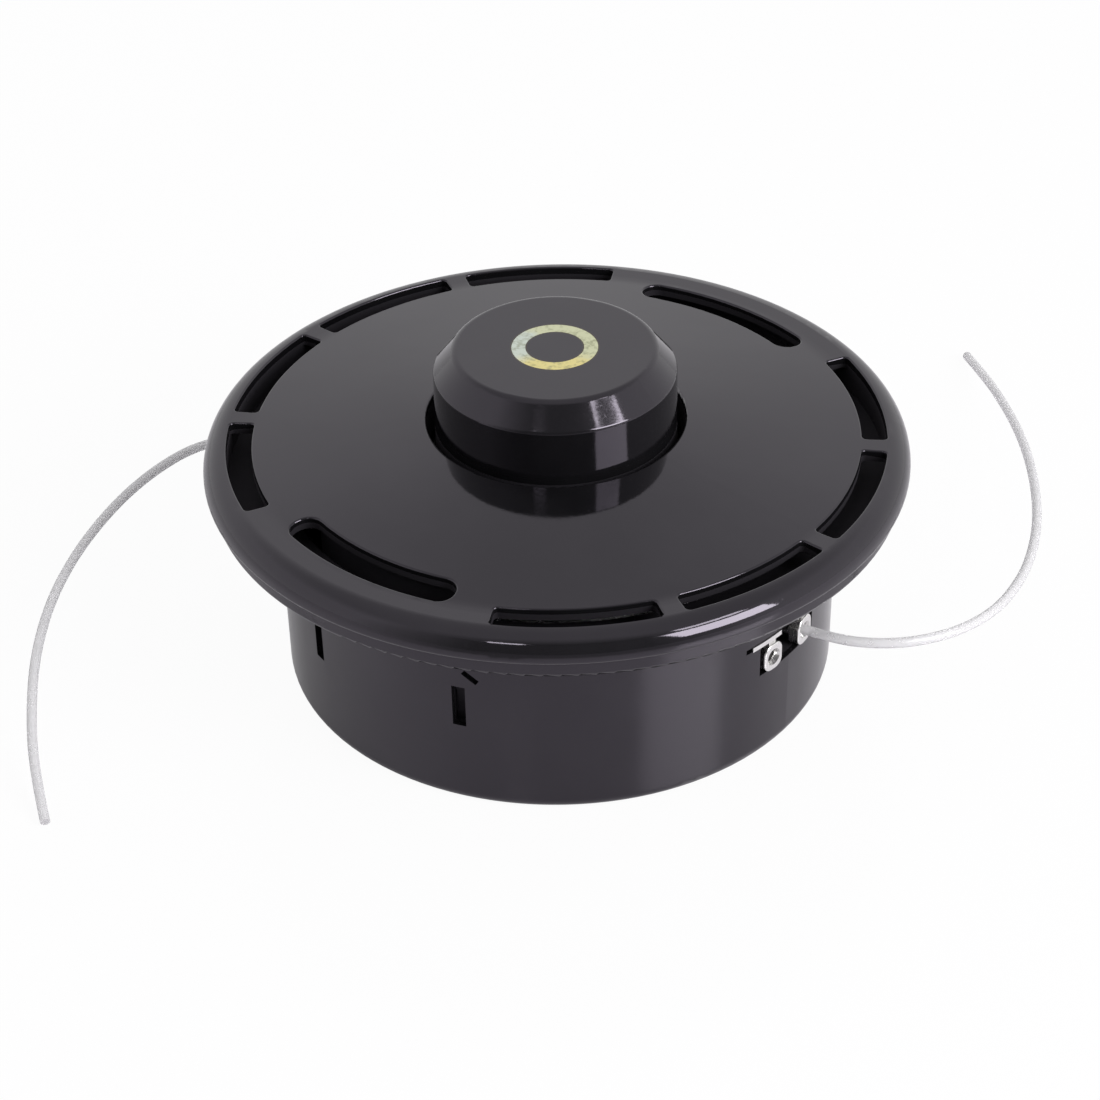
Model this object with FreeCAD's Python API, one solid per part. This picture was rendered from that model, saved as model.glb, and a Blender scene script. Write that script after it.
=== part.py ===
import FreeCAD, Part
import math
import os

# Bump-feed trimmer head lying with its mounting side down.
# Millimetres; origin on the spindle axis at the mounting face, +Z up to the knob.
# +X points along the middle of the window on the right.

# Fits, small edge rounds and how far a cutter or a joined piece runs past a face
SNUG = 0.05
EDGE_ROUND = 0.5
LIP_ROUND = 0.2
PAST = 1.0
SINK = 0.5
UPRIGHT = 0.05

# Case: a cup with a wide collar at its mouth
FLOOR_T = 3.2
WALL_R = 55.5
WALL_LEAN = 0.55
WALL_T = 2.2
COLLAR_Z = 41.7
COLLAR_T = 2.0
SKIRT_STEP = 1.4
SKIRT_T = 2.0
SKIRT_TOP_Z = 45.4
SKIRT_LOW_ROUND = 0.9
CASE_CORNER = 2.4
CUP_ROUND = 1.5
RECESS_R = 16.0
RECESS_DEPTH = 1.0
HUB_R = 11.0
HUB_BORE_R = 9.4
HUB_TOP_GAP = 12.4
SHAFT_HOLE_R = 5.2

# Windows, one on each side, each with a wider groove along its top for the eyelet plate,
# and the frame inside the wall round them
WINDOW_HALF_DEG = 9.45
WINDOW_LOW_Z = 20.0
WINDOW_TOP_Z = 28.0
GROOVE_HALF_DEG = 13.4
FRAME_DEPTH = 2.5
FRAME_EDGE_DEG = 1.5
FRAME_EDGE_Z = 2.5

# Flat plate in each groove, notched between the two eyelets that are riveted into it
PLATE_T = 1.0
PLATE_HALF_DEG = 11.8
PLATE_BACK_GAP = 0.4
PLATE_PROUD = 0.6
NOTCH_DEPTH = 1.6
EYELET_DEG = 5.1
SPARE_DEG = 6.0
EYELET_Z = 23.2
EYELET_W = 5.2
EYELET_H = 6.0
EYELET_CORNER = 2.0
EYELET_ROUND = 0.3
EYELET_PROUD = 0.9
EYELET_L = 4.2
EYELET_T = 2.2
THROAT_R = 1.3
MOUTH_R = 1.8
SLEEVE_R = 1.95
NECK_W = 2.0
NECK_T = 1.3
NECK_PROUD = 0.4
TENON_STEP = 0.2

# Cover
COVER_R = 70.0
RIM_ROUND = 4.57
RIM_LOW_ROUND = 0.9
CREST_Z = 51.0
CREST_BLEND_R = 25.0
RIM_W = 9.0
KNOB_GAP = 1.7
HOLE_EDGE_Z = 55.0
HOLE_ROUND = 0.5
COVER_T = 2.4
SPIGOT_GAP = 0.2
SPIGOT_T = 1.1
SPIGOT_Z = 43.9
CHIMNEY_T = 2.4
CHIMNEY_H = 8.0
SLOT_INSET = 4.8
SLOT_W = 4.9
SLOT_HALF_DEG = 14.15
SLOT_PITCH_DEG = 32.3
SLOTS_PER_SIDE = 4
SLOT_CORNER = 0.9
SLOT_RIM_ROUND = 0.4
WIDE_SLOT_INSET = 9.0
WIDE_SLOT_W = 6.3
WIDE_SLOT_HALF_DEG = 19.5
WIDE_SLOT_CORNER = 3.0
WIDE_SLOT_DEG = 88.3

# Snap arms of the cover and the openings they click into
ARM_GAP = 0.2
ARM_T = 1.8
ARM_LOW_Z = 17.0
ARM_HALF_DEG = 19.9
LATCH_OFF_DEG = 18.5
LATCH_WIDTH = 2.7
LATCH_LOW_Z = 18.6
LATCH_TOP_Z = 27.8
BARB_CLEAR = 0.3
BARB_REACH = 0.9
BARB_RAMP_H = 4.5
BARB_FLAT_H = 1.0
MARK_START_DEG = 1.1
MARK_SPAN_DEG = 2.9
MARK_HIGH_Z = 31.6
MARK_LOW_Z = 29.5
MARK_WIDTH = 1.2
MARK_DEPTH = 0.8

# Spool, its bush and the line wound on it
SPOOL_GAP = 0.8
SPOOL_LOW_Z = 12.0
SPOOL_TOP_Z = 44.0
FLANGE_T = 2.0
CORE_GAP = 3.6
CORE_T = 2.5
WEB_T = 2.5
BUSH_T = 1.35
BOSS_T = 2.5
SHAFT_CLEAR = 0.15
BOSS_LOW_Z = 24.0
LINE_LAYERS = 4

# Lugs: the drive is through four above at rest and four below when pressed
LUGS = 4
LUG_REACH = 3.0
LUG_HALF_DEG = 4.0
LUG_H = 2.5
FLOOR_LUG_H = 2.3
STOP_GAP = 0.4
STOP_AHEAD_DEG = 8.9
FLOOR_LUG_DEG = 45.0

# Knob and its screws
KNOB_R = 23.9
KNOB_T = 2.2
BEVEL_H = 4.8
BEVEL_W = 4.1
KNOB_TOP_Z = 70.4
KNOB_TOP_T = 2.4
KNOB_EDGE_ROUND = 0.9
KNOB_TOP_ROUND = 1.6
BEVEL_IN_STEP = 1.0
TOP_IN_STEP = 1.6
SCREWS = 3
SCREW_INSET = 2.5
SCREW_FIRST_DEG = 25.0
SCREW_R = 1.4
SCREW_CLEAR = 0.1
SCREW_REACH = 9.0
SCREW_HEAD_R = 2.5
SCREW_HEAD_H = 1.8
SCREW_HEAD_ROUND = 0.6
SCREW_POINT = 1.0
CROSS_L = 2.8
CROSS_W = 0.6
CROSS_DEPTH = 1.0
POST_R = 2.4
POST_H = 12.0

# Spring and its two washers
SPRING_GAP = 1.4
WIRE_D = 1.6
SPRING_TURNS = 8
SPRING_STEPS = 20
SPRING_GROUND = 0.25
CLOSED_PITCH = 1.66
WASHER_T = 1.0
WASHER_EDGE = 1.9
WASHER_CLEAR = 0.3
SEAT_GAP = 0.1

# Nut on the spindle axis, the hexagonal pocket for its lower half and the ring that keeps it there
NUT_ACROSS = 15.8
NUT_H = 11.0
NUT_CHAMFER = 0.7
POCKET_ACROSS = 16.0
POCKET_H = 6.0
NUT_BORE_R = 4.33
RETAINER_IN_R = 6.6
RETAINER_T = 0.9

# Nylon lines: points of each route, in millimetres
LINE_D = 2.0
BEND_SHARE = 0.45
RIGHT_ROUTE = [
    (38.0, -11.1, 23.2), (39.5, -2.1, 23.2), (46.25, 4.13, 23.2), (62.0, 5.53, 23.2),
    (69.3, 8.8, 23.1), (75.5, 14.0, 23.0), (80.6, 22.5, 22.7), (82.6, 33.5, 22.1),
    (81.1, 45.5, 21.3), (77.3, 57.7, 20.2), (70.6, 72.1, 18.5), (59.4, 90.2, 15.6),
    (46.4, 107.7, 12.0), (30.5, 125.9, 7.2), (18.3, 138.5, 3.1), (12.6, 144.3, 1.1)]
LEFT_ROUTE = [
    (-38.0, 11.1, 23.2), (-39.5, 2.1, 23.2), (-46.25, -4.13, 23.2), (-62.0, -5.53, 23.2),
    (-73.5, -5.2, 23.1), (-81.9, -7.7, 22.8), (-86.6, -13.9, 22.2), (-88.3, -22.5, 21.5),
    (-88.4, -32.5, 20.5), (-87.0, -43.0, 19.2), (-84.3, -54.5, 17.3), (-79.3, -67.0, 15.0),
    (-72.0, -79.1, 11.9), (-63.0, -89.8, 8.4), (-54.0, -98.7, 4.8), (-44.4, -106.0, 1.1)]

# Radii that follow from the ones above
skirt_r = COVER_R - SKIRT_STEP
skirt_in_r = skirt_r - SKIRT_T
spigot_r = skirt_in_r - SPIGOT_GAP
flat_end_r = COVER_R - RIM_W
slot_out_r = COVER_R - SLOT_INSET
slot_in_r = slot_out_r - SLOT_W
wide_out_r = COVER_R - WIDE_SLOT_INSET
wide_in_r = wide_out_r - WIDE_SLOT_W
hole_r = KNOB_R + KNOB_GAP
chimney_r = hole_r + CHIMNEY_T
knob_top_r = KNOB_R - BEVEL_W
screw_at_r = KNOB_R - SCREW_INSET
core_in_r = KNOB_R + CORE_GAP
core_r = core_in_r + CORE_T
lug_in_r = core_in_r - SINK
lug_out_r = core_r + LUG_REACH
bush_in_r = HUB_R + SHAFT_CLEAR
bush_out_r = bush_in_r + BUSH_T
boss_r = bush_out_r + BOSS_T
spring_r = boss_r + SPRING_GAP
washer_out_r = spring_r + WASHER_EDGE
seat_in_r = boss_r + WASHER_CLEAR
wall_top_r = WALL_R + WALL_LEAN
wall_in_r = WALL_R - WALL_T
frame_in_r = wall_in_r - FRAME_DEPTH
plate_back_r = frame_in_r + PLATE_BACK_GAP
plate_front_r = WALL_R + PLATE_PROUD
eyelet_face_r = WALL_R + EYELET_PROUD
eyelet_back_r = eyelet_face_r - EYELET_L
neck_front_r = WALL_R + NECK_PROUD
notch_half_deg = (EYELET_DEG + SPARE_DEG) / 2 - math.degrees(EYELET_W / 2 / WALL_R)
arm_out_r = wall_in_r - ARM_GAP
arm_in_r = arm_out_r - ARM_T
barb_r = wall_in_r + BARB_REACH
spool_r = frame_in_r - SPOOL_GAP
wound_r = core_r + LINE_LAYERS * LINE_D

# Heights that follow from the ones above
collar_top_z = COLLAR_Z + COLLAR_T
wall_slope = WALL_LEAN / COLLAR_Z
nut_top_z = FLOOR_T + NUT_H
pocket_top_z = FLOOR_T + POCKET_H
washer_top_z = FLOOR_T + WASHER_T
web_low_z = SPOOL_TOP_Z - WEB_T
seat_top_z = web_low_z - SEAT_GAP
seat_low_z = seat_top_z - WASHER_T
plate_low_z = WINDOW_TOP_Z - PLATE_T
cover_slope = (HOLE_EDGE_Z - CREST_Z) / (flat_end_r - hole_r)
arm_top_z = HOLE_EDGE_Z - (arm_out_r - hole_r) * cover_slope - COVER_T / 2
chimney_z = HOLE_EDGE_Z - CHIMNEY_H
hub_top_z = KNOB_TOP_Z - HUB_TOP_GAP
bevel_z = KNOB_TOP_Z - BEVEL_H
screw_tip_z = SPOOL_TOP_Z + SCREW_REACH
post_top_z = SPOOL_TOP_Z + POST_H
stop_z = SPOOL_TOP_Z + STOP_GAP
barb_top_z = LATCH_TOP_Z - BARB_CLEAR
barb_flat_z = barb_top_z - BARB_FLAT_H

Z_AXIS = FreeCAD.Vector(0, 0, 1)
X_AXIS = FreeCAD.Vector(1, 0, 0)
ORIGIN = FreeCAD.Vector(0, 0, 0)


def rounded_face(corners):
    """Face in the XZ plane from (x, z, radius) corners, each rounded by its radius."""
    points = [FreeCAD.Vector(x, 0, z) for x, z, radius in corners]
    edges = []
    starts = []
    ends = []
    for i, (x, z, radius) in enumerate(corners):
        here = points[i]
        to_last = points[i - 1] - here
        to_next = points[(i + 1) % len(points)] - here
        half = to_last.getAngle(to_next) / 2
        to_last.normalize()
        to_next.normalize()
        if radius > 0:
            reach = radius / math.tan(half)
            start = here + to_last * reach
            end = here + to_next * reach
            inward = (to_last + to_next).normalize()
            middle = here + inward * (radius / math.sin(half) - radius)
            edges.append(Part.Arc(start, middle, end).toShape())
        else:
            start = here
            end = here
        starts.append(start)
        ends.append(end)
    for i in range(len(points)):
        following = starts[(i + 1) % len(points)]
        if (following - ends[i]).Length > 1e-6:
            edges.append(Part.makeLine(ends[i], following))
    return Part.Face(Part.Wire(Part.__sortEdges__(edges)))


def turned(corners, start_deg=0.0, span_deg=360.0):
    """Solid turned about Z from an XZ profile."""
    face = rounded_face([(c[0], c[1], c[2] if len(c) > 2 else 0.0) for c in corners])
    face.rotate(ORIGIN, Z_AXIS, start_deg)
    return face.revolve(ORIGIN, Z_AXIS, span_deg)


def ring(inner_r, outer_r, low_z, top_z):
    """Flat ring about Z."""
    return turned([(inner_r, low_z), (outer_r, low_z), (outer_r, top_z), (inner_r, top_z)])


def sector(inner_r, outer_r, low_z, top_z, middle_deg, half_deg):
    """Piece of a ring, centred on one direction."""
    corners = [(inner_r, low_z), (outer_r, low_z), (outer_r, top_z), (inner_r, top_z)]
    return turned(corners, middle_deg - half_deg, 2 * half_deg)


def rounded_sector(inner_r, outer_r, low_z, top_z, middle_deg, half_deg, corner):
    """Piece of a ring with its four upright corners rounded."""
    block = sector(inner_r, outer_r, low_z, top_z, middle_deg, half_deg)
    upright = []
    for edge in block.Edges:
        along = edge.Vertexes[0].Point - edge.Vertexes[-1].Point
        if abs(along.z) > (top_z - low_z) * 0.9:
            upright.append(edge)
    return block.makeFillet(corner, upright)


def around(shape, degrees):
    """Copy of a shape turned about the spindle axis."""
    copy = shape.copy()
    copy.rotate(ORIGIN, Z_AXIS, degrees)
    return copy


def hexagon(across, low_z, height):
    """Hexagonal prism on the spindle axis."""
    corner_r = across / 2 / math.cos(math.radians(30))
    points = []
    for i in range(7):
        angle = math.radians(60 * i)
        points.append(FreeCAD.Vector(corner_r * math.cos(angle), corner_r * math.sin(angle), low_z))
    return Part.Face(Part.makePolygon(points)).extrude(Z_AXIS * height)


def sides():
    """The two sides of the head, half a turn apart."""
    return [0.0, 180.0]


def latch_directions():
    """Directions of the four latch openings."""
    found = []
    for side in sides():
        for off in (-LATCH_OFF_DEG, LATCH_OFF_DEG):
            found.append(WIDE_SLOT_DEG + side + off)
    return found


def case_profile():
    """Half section of the case: floor, wall, collar, skirt and hub."""
    return [
        (SHAFT_HOLE_R, RECESS_DEPTH),
        (RECESS_R, RECESS_DEPTH),
        (RECESS_R, 0),
        (WALL_R, 0, CASE_CORNER),
        (wall_top_r, COLLAR_Z, EDGE_ROUND),
        (skirt_r, COLLAR_Z, SKIRT_LOW_ROUND),
        (skirt_r, SKIRT_TOP_Z, LIP_ROUND),
        (skirt_in_r, SKIRT_TOP_Z),
        (skirt_in_r, collar_top_z),
        (wall_top_r - WALL_T, collar_top_z, EDGE_ROUND),
        (wall_in_r, FLOOR_T, CUP_ROUND),
        (HUB_R, FLOOR_T),
        (HUB_R, hub_top_z, EDGE_ROUND),
        (HUB_BORE_R, hub_top_z),
        (HUB_BORE_R, pocket_top_z),
        (SHAFT_HOLE_R, pocket_top_z)]


def latch_mark(direction):
    """Short slanted groove beside a latch opening."""
    middle_z = (MARK_HIGH_Z + MARK_LOW_Z) / 2
    surface_r = WALL_R + wall_slope * middle_z
    run = surface_r * math.radians(MARK_SPAN_DEG)
    drop = MARK_HIGH_Z - MARK_LOW_Z
    length = math.hypot(run, drop)
    low_corner = FreeCAD.Vector(surface_r - MARK_DEPTH, -length / 2, -MARK_WIDTH / 2)
    groove = Part.makeBox(3 * MARK_DEPTH, length, MARK_WIDTH, low_corner)
    groove.rotate(ORIGIN, X_AXIS, -math.degrees(math.atan2(drop, run)))
    groove.translate(Z_AXIS * middle_z)
    return around(groove, direction + MARK_START_DEG + MARK_SPAN_DEG / 2)


def make_case():
    """Cup with hub, windows, window frames, latch openings and floor lugs."""
    case = turned(case_profile())
    frame_half = GROOVE_HALF_DEG + FRAME_EDGE_DEG
    frame_out_r = WALL_R - WALL_T / 2
    added = []
    cut = [hexagon(POCKET_ACROSS, FLOOR_T, POCKET_H)]
    for side in sides():
        added.append(sector(frame_in_r, frame_out_r, WINDOW_LOW_Z - FRAME_EDGE_Z,
                            WINDOW_TOP_Z + FRAME_EDGE_Z, side, frame_half))
        cut.append(sector(frame_in_r - PAST, wall_top_r + PAST, WINDOW_LOW_Z, WINDOW_TOP_Z,
                          side, WINDOW_HALF_DEG))
        cut.append(sector(plate_back_r - SNUG, wall_top_r + PAST, plate_low_z, WINDOW_TOP_Z + SNUG,
                          side, GROOVE_HALF_DEG))
    for i in range(LUGS):
        direction = FLOOR_LUG_DEG + i * 360 / LUGS
        added.append(sector(lug_in_r, lug_out_r, FLOOR_T - SINK, FLOOR_T + FLOOR_LUG_H,
                            direction, LUG_HALF_DEG))
    half_width_deg = math.degrees(LATCH_WIDTH / 2 / WALL_R)
    for direction in latch_directions():
        cut.append(sector(frame_in_r, wall_top_r + PAST, LATCH_LOW_Z, LATCH_TOP_Z,
                          direction, half_width_deg))
        cut.append(latch_mark(direction))
    return case.fuse(added).removeSplitter().cut(cut)


def cover_profile():
    """Half section of the cover: rim, top, chimney round the knob and spigot."""
    chimney_top_z = HOLE_EDGE_Z - (chimney_r - hole_r) * cover_slope - COVER_T
    return [
        (COVER_R, SKIRT_TOP_Z, RIM_LOW_ROUND),
        (COVER_R, CREST_Z, RIM_ROUND),
        (flat_end_r, CREST_Z, CREST_BLEND_R),
        (hole_r, HOLE_EDGE_Z, HOLE_ROUND),
        (hole_r, chimney_z, LIP_ROUND),
        (chimney_r, chimney_z),
        (chimney_r, chimney_top_z),
        (flat_end_r, CREST_Z - COVER_T),
        (spigot_r - SPIGOT_T, CREST_Z - COVER_T),
        (spigot_r - SPIGOT_T, SPIGOT_Z),
        (spigot_r, SPIGOT_Z),
        (spigot_r, SKIRT_TOP_Z)]


def slot_rims(cover):
    """Edges where the slots' walls meet the outer surface of the cover."""
    rims = []
    for edge in cover.Edges:
        middle = edge.valueAt((edge.FirstParameter + edge.LastParameter) / 2)
        reach = math.hypot(middle.x, middle.y)
        if middle.z < CREST_Z - SINK or reach < wide_in_r - SINK or reach > slot_out_r + SINK:
            continue
        upright = 0
        for face in cover.ancestorsOfType(edge, Part.Face):
            u, v = face.Surface.parameter(middle)
            if abs(face.normalAt(u, v).z) < UPRIGHT:
                upright += 1
        if upright == 1:
            rims.append(edge)
    return rims


def barb(direction):
    """Barb of a snap arm: a ramp under a short flat, hooked below a latch opening's top edge."""
    root_r = arm_out_r - ARM_T / 2
    half_deg = math.degrees((LATCH_WIDTH / 2 - BARB_CLEAR) / WALL_R)
    profile = [(root_r, barb_flat_z - BARB_RAMP_H), (arm_out_r, barb_flat_z - BARB_RAMP_H),
               (barb_r, barb_flat_z), (barb_r, barb_top_z), (root_r, barb_top_z)]
    return turned(profile, direction - half_deg, 2 * half_deg)


def make_cover():
    """Cover with its slots, stops, snap arms and barbs."""
    cover = turned(cover_profile())
    added = []
    cut = []
    slot_low_z = CREST_Z - COVER_T - PAST
    slot_top_z = HOLE_EDGE_Z
    for side in sides():
        wide = WIDE_SLOT_DEG + side
        cut.append(rounded_sector(wide_in_r, wide_out_r, slot_low_z, slot_top_z,
                                  wide, WIDE_SLOT_HALF_DEG, WIDE_SLOT_CORNER))
        for i in range(SLOTS_PER_SIDE):
            direction = wide + 90 + (i - (SLOTS_PER_SIDE - 1) / 2) * SLOT_PITCH_DEG
            cut.append(rounded_sector(slot_in_r, slot_out_r, slot_low_z, slot_top_z,
                                      direction, SLOT_HALF_DEG, SLOT_CORNER))
        added.append(sector(arm_in_r, arm_out_r, ARM_LOW_Z, arm_top_z, wide, ARM_HALF_DEG))
    for direction in latch_directions():
        added.append(barb(direction))
    for i in range(LUGS):
        direction = STOP_AHEAD_DEG + i * 360 / LUGS
        added.append(sector(hole_r, lug_out_r, stop_z, HOLE_EDGE_Z - COVER_T,
                            direction, LUG_HALF_DEG))
    cover = cover.cut(cut)
    cover = cover.makeFillet(SLOT_RIM_ROUND, slot_rims(cover))
    return cover.fuse(added).removeSplitter()


def neck_block(width, back_r, front_r, low_z, top_z):
    """Upright block on +X, part of an eyelet's neck or the mortise for it."""
    low_corner = FreeCAD.Vector(back_r, -width / 2, low_z)
    return Part.makeBox(front_r - back_r, width, top_z - low_z, low_corner)


def tenon_block(clearance, low_z, top_z):
    """Eyelet's tenon, or with a clearance the mortise in the plate."""
    inset = TENON_STEP - clearance
    back_r = neck_front_r - NECK_T + inset
    return neck_block(NECK_W - 2 * inset, back_r, neck_front_r - inset, low_z, top_z)


def make_eyelet_plate():
    """Flat plate along the top of a window with a mortise for each eyelet and a notch between."""
    plate = sector(plate_back_r, plate_front_r, plate_low_z, WINDOW_TOP_Z, 0, PLATE_HALF_DEG)
    notch = sector(plate_front_r - NOTCH_DEPTH, plate_front_r + PAST, plate_low_z - PAST,
                   WINDOW_TOP_Z + PAST, (EYELET_DEG - SPARE_DEG) / 2, notch_half_deg)
    mortise = tenon_block(SNUG, plate_low_z - PAST, WINDOW_TOP_Z + PAST)
    return plate.cut([notch] + [around(mortise, turn) for turn in (-SPARE_DEG, EYELET_DEG)])


def make_eyelet():
    """Eyelet on +X: oval block, sleeve behind it, neck and tenon above, flared through hole."""
    low_corner = FreeCAD.Vector(eyelet_face_r - EYELET_T, -EYELET_W / 2, EYELET_Z - EYELET_H / 2)
    block = Part.makeBox(EYELET_T, EYELET_W, EYELET_H, low_corner)
    along_x = [edge for edge in block.Edges if abs(edge.tangentAt(edge.FirstParameter).x) > 0.9]
    block = block.makeFillet(EYELET_CORNER, along_x)
    face_edges = [edge for edge in block.Edges
                  if min(vertex.Point.x for vertex in edge.Vertexes) > eyelet_face_r - SNUG]
    block = block.makeFillet(EYELET_ROUND, face_edges)
    sleeve = Part.makeCylinder(SLEEVE_R, eyelet_face_r - EYELET_T - eyelet_back_r,
                               FreeCAD.Vector(eyelet_back_r, 0, EYELET_Z), X_AXIS)
    neck = neck_block(NECK_W, neck_front_r - NECK_T, neck_front_r, EYELET_Z, plate_low_z)
    tenon = tenon_block(0, EYELET_Z, WINDOW_TOP_Z)
    flare = MOUTH_R - THROAT_R
    hole = turned([
        (0, eyelet_back_r - PAST),
        (MOUTH_R, eyelet_back_r - PAST),
        (MOUTH_R, eyelet_back_r),
        (THROAT_R, eyelet_back_r + 2 * flare, flare),
        (THROAT_R, eyelet_face_r - 2 * flare, flare),
        (MOUTH_R, eyelet_face_r),
        (MOUTH_R, eyelet_face_r + PAST),
        (0, eyelet_face_r + PAST)])
    hole.rotate(ORIGIN, FreeCAD.Vector(0, 1, 0), 90)
    hole.translate(Z_AXIS * EYELET_Z)
    return block.fuse([sleeve, neck, tenon]).removeSplitter().cut(hole)


def make_spool():
    """Spool for the line: two flanges, core, web, boss and both sets of lugs."""
    spool = turned([
        (bush_out_r, BOSS_LOW_Z),
        (boss_r, BOSS_LOW_Z, EDGE_ROUND),
        (boss_r, web_low_z),
        (core_in_r, web_low_z),
        (core_in_r, SPOOL_LOW_Z),
        (spool_r, SPOOL_LOW_Z, EDGE_ROUND),
        (spool_r, SPOOL_LOW_Z + FLANGE_T, EDGE_ROUND),
        (core_r, SPOOL_LOW_Z + FLANGE_T),
        (core_r, SPOOL_TOP_Z - FLANGE_T),
        (spool_r, SPOOL_TOP_Z - FLANGE_T, EDGE_ROUND),
        (spool_r, SPOOL_TOP_Z, EDGE_ROUND),
        (bush_out_r, SPOOL_TOP_Z)])
    added = []
    for i in range(LUGS):
        direction = i * 360 / LUGS
        added.append(sector(lug_in_r, lug_out_r, SPOOL_TOP_Z - SINK, SPOOL_TOP_Z + LUG_H,
                            direction, LUG_HALF_DEG))
        added.append(sector(core_in_r, lug_out_r, SPOOL_LOW_Z - LUG_H, SPOOL_LOW_Z + SINK,
                            direction, LUG_HALF_DEG))
    cut = []
    for place in screw_places():
        start = place + Z_AXIS * (web_low_z - PAST)
        cut.append(Part.makeCylinder(SCREW_R + 2 * SCREW_CLEAR, WEB_T + 2 * PAST, start))
    return spool.fuse(added).removeSplitter().cut(cut)


def screw_places():
    """Plan positions of the knob's screws."""
    places = []
    for i in range(SCREWS):
        angle = math.radians(SCREW_FIRST_DEG + i * 360 / SCREWS)
        places.append(FreeCAD.Vector(screw_at_r * math.cos(angle), screw_at_r * math.sin(angle), 0))
    return places


def make_knob():
    """Hollow knob with a bevelled top and screw posts inside its wall."""
    knob = turned([
        (0, KNOB_TOP_Z - KNOB_TOP_T),
        (knob_top_r - TOP_IN_STEP, KNOB_TOP_Z - KNOB_TOP_T),
        (KNOB_R - KNOB_T, bevel_z - BEVEL_IN_STEP),
        (KNOB_R - KNOB_T, SPOOL_TOP_Z),
        (KNOB_R, SPOOL_TOP_Z),
        (KNOB_R, bevel_z, KNOB_EDGE_ROUND),
        (knob_top_r, KNOB_TOP_Z, KNOB_TOP_ROUND),
        (0, KNOB_TOP_Z)])
    added = []
    cut = []
    for place in screw_places():
        foot = place + Z_AXIS * SPOOL_TOP_Z
        added.append(Part.makeCylinder(POST_R, post_top_z - SPOOL_TOP_Z, foot))
        cut.append(Part.makeCylinder(SCREW_R + SCREW_CLEAR, screw_tip_z + SINK - SPOOL_TOP_Z, foot))
    return knob.fuse(added).removeSplitter().cut(cut)


def make_screws():
    """Pan-head screws that hold the knob to the spool, heads below the web."""
    screws = []
    for place in screw_places():
        screw = turned([
            (0, web_low_z - SCREW_HEAD_H),
            (SCREW_HEAD_R, web_low_z - SCREW_HEAD_H, SCREW_HEAD_ROUND),
            (SCREW_HEAD_R, web_low_z),
            (SCREW_R, web_low_z),
            (SCREW_R, screw_tip_z - SCREW_POINT),
            (SCREW_R / 2, screw_tip_z),
            (0, screw_tip_z)])
        for turn in (0, 90):
            low_corner = FreeCAD.Vector(-CROSS_L / 2, -CROSS_W / 2, web_low_z - SCREW_HEAD_H)
            blade = Part.makeBox(CROSS_L, CROSS_W, CROSS_DEPTH, low_corner)
            blade.rotate(ORIGIN, Z_AXIS, turn)
            screw = screw.cut(blade)
        screw.translate(place)
        screws.append(screw)
    return Part.makeCompound(screws)


def make_spring():
    """Compression spring with a closed, ground coil at each end."""
    low_z = washer_top_z
    high_z = seat_low_z
    ground = WIRE_D * SPRING_GROUND
    open_pitch = (high_z - low_z - 2 * ground - 2 * CLOSED_PITCH) / (SPRING_TURNS - 2)
    points = []
    z = low_z + ground
    for i in range(SPRING_TURNS * SPRING_STEPS + 1):
        turn = i / SPRING_STEPS
        angle = 2 * math.pi * turn
        points.append(FreeCAD.Vector(spring_r * math.cos(angle), spring_r * math.sin(angle), z))
        from_end = min(turn, SPRING_TURNS - turn) + 0.5 / SPRING_STEPS
        pitch = CLOSED_PITCH if from_end < 1 else open_pitch
        z += pitch / SPRING_STEPS
    curve = Part.BSplineCurve()
    curve.interpolate(points)
    path = Part.Wire(curve.toShape())
    circle = Part.Wire(Part.makeCircle(WIRE_D / 2, points[0], curve.tangent(curve.FirstParameter)[0]))
    wire = path.makePipeShell([circle], True, True)
    slab = ring(spring_r - 2 * WIRE_D, spring_r + 2 * WIRE_D, low_z, high_z)
    return wire.common(slab)


def make_nut():
    """Long hexagon nut with chamfered ends, bored to the thread's inner size."""
    corner_r = NUT_ACROSS / 2 / math.cos(math.radians(30))
    envelope = turned([
        (NUT_BORE_R, FLOOR_T),
        (NUT_ACROSS / 2, FLOOR_T),
        (corner_r, FLOOR_T + NUT_CHAMFER),
        (corner_r, nut_top_z - NUT_CHAMFER),
        (NUT_ACROSS / 2, nut_top_z),
        (NUT_BORE_R, nut_top_z)])
    return hexagon(NUT_ACROSS, FLOOR_T, NUT_H).common(envelope)


def make_line(route, name):
    """Round nylon line: straight runs joined by tangent arcs."""
    points = [FreeCAD.Vector(*p) for p in route]
    radius = LINE_D / 2
    edges = []
    last_end = points[0]
    smallest = 1e9
    for i in range(1, len(points) - 1):
        back = points[i - 1] - points[i]
        onward = points[i + 1] - points[i]
        half_turn = (math.pi - back.getAngle(onward)) / 2
        reach = BEND_SHARE * min(back.Length, onward.Length)
        bend_r = reach / math.tan(half_turn)
        smallest = min(smallest, bend_r)
        back.normalize()
        onward.normalize()
        start = points[i] + back * reach
        end = points[i] + onward * reach
        inward = (back + onward).normalize()
        middle = points[i] + inward * (bend_r / math.cos(half_turn) - bend_r)
        edges.append(Part.makeLine(last_end, start))
        edges.append(Part.Arc(start, middle, end).toShape())
        last_end = end
    edges.append(Part.makeLine(last_end, points[-1]))
    path = Part.Wire(edges)
    circle = Part.Wire(Part.makeCircle(radius, points[0], points[1] - points[0]))
    tube = path.makePipeShell([circle], True, False)
    full = math.pi * radius ** 2 * path.Length
    print(name, "length", round(path.Length, 1), "smallest bend", round(smallest, 1),
          "volume over section times length", round(tube.Volume / full, 4))
    return tube


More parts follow.
